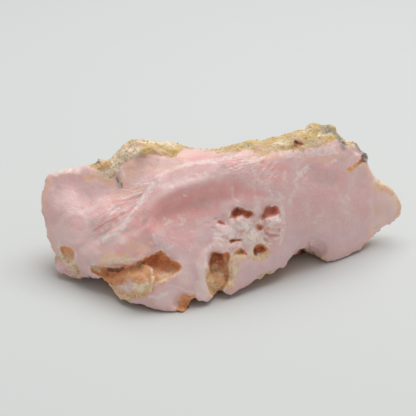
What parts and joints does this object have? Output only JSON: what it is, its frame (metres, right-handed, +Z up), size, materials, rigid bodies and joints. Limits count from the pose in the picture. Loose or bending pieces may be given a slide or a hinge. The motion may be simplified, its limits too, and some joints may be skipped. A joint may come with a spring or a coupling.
{
  "type": "rough pink opal",
  "caption": "Rough lump of pink opal with waxy broken faces, hollows along its lower front and a tan rind, lying on its underside.",
  "frame": {"origin": "middle of the stone's footprint, on the surface it lies on", "axes": "+X along the stone's longest side, towards its tapered tip; +Y away from its broken front face; +Z up"},
  "size_m": [0.075, 0.0348, 0.0293],
  "materials": {
    "pink_opal": "waxy broken opal, with a dull granular tan rind on top and at the back"
  },
  "bodies": {
    "root": {"rough_pink_opal": "pink_opal"}
  },
  "joints": []
}
